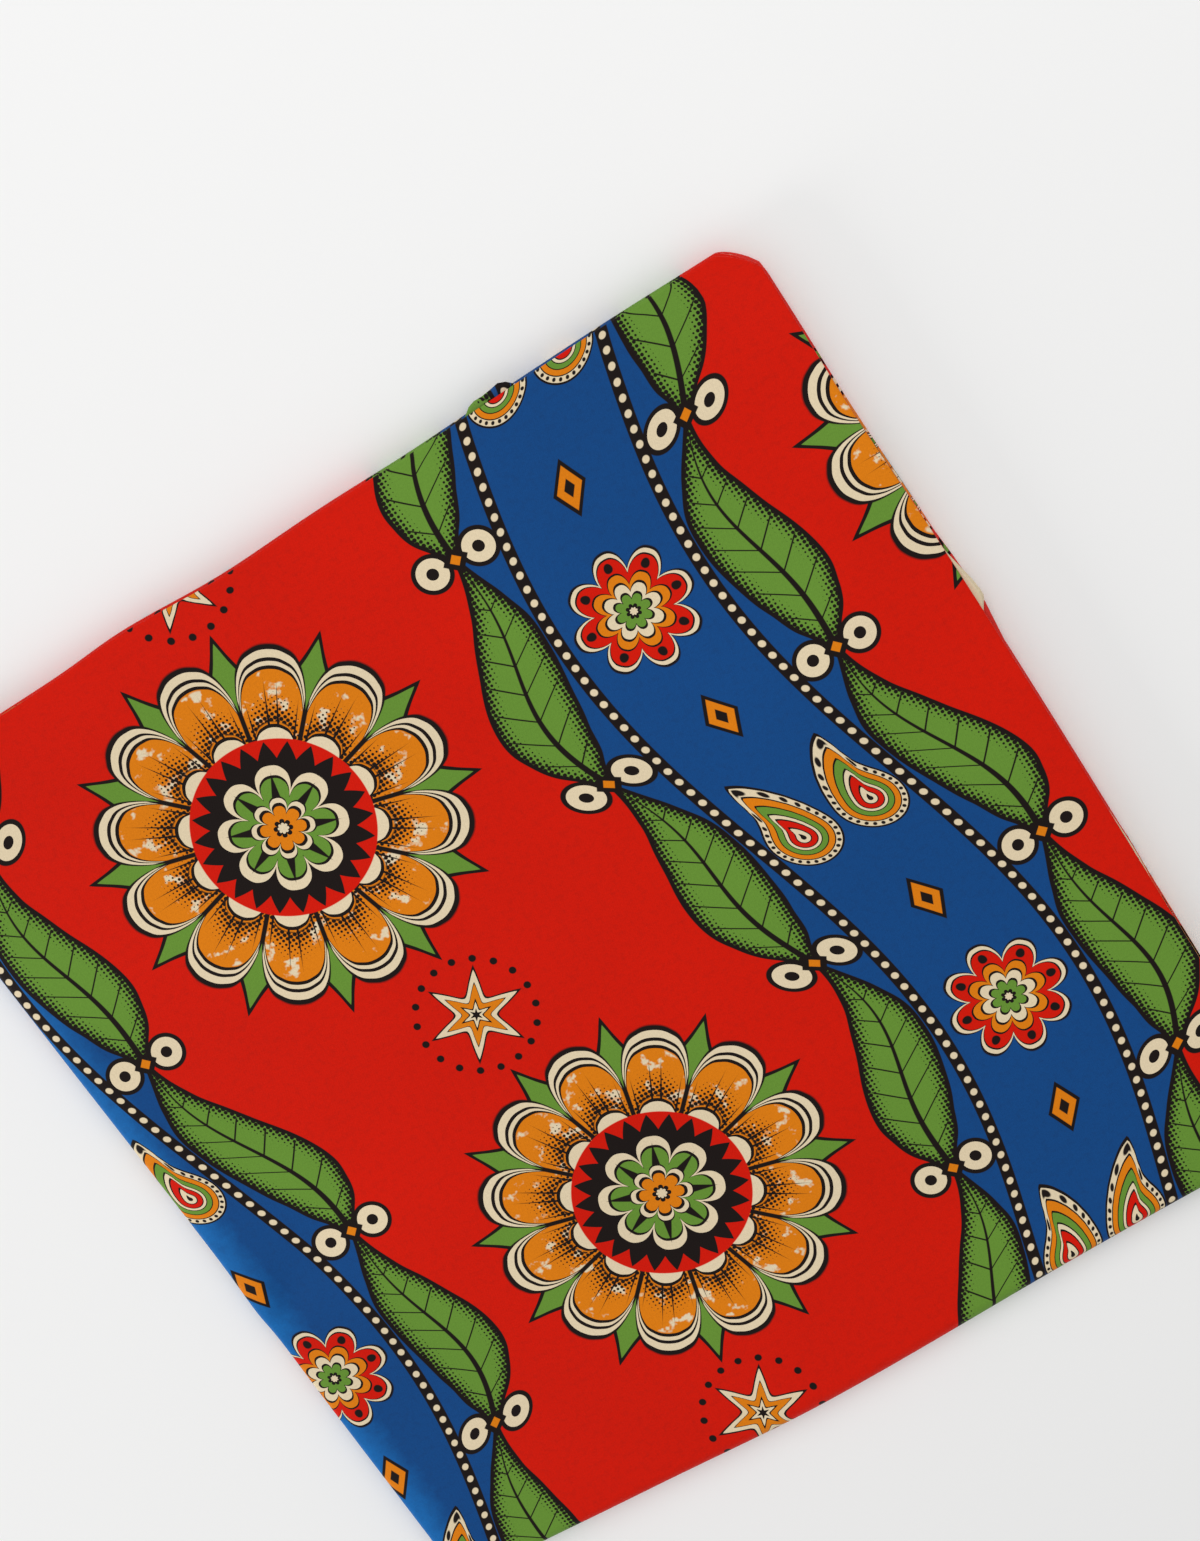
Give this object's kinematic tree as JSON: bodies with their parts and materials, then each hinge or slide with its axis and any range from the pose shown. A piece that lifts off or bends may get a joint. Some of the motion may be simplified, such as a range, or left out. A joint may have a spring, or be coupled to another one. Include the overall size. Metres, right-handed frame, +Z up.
{
  "type": "folded wax print fabric",
  "caption": "Length of wax-printed cotton cloth folded into a flat, nearly square bundle with layered edges, for lying on a table or shelf.",
  "frame": {"origin": "under the middle of the bundle, on the surface it lies on", "axes": "+Z up; +X across the bundle from the wide folded side to the side with the narrow folds; +Y along it from the near end, where the outer cloth wraps the stack, to the far end with the loose leaves"},
  "size_m": [0.2955, 0.3091, 0.0104],
  "materials": {
    "printed_cotton": "plain-woven cotton with a smooth, slightly waxy face, wax-printed in red, blue, green, gold, cream and black",
    "folded_cotton": "the same printed cotton where it lies folded inside and shows as layered edges"
  },
  "bodies": {
    "root": {"outer_cloth": "printed_cotton", "inner_layers": "folded_cotton"}
  },
  "joints": []
}
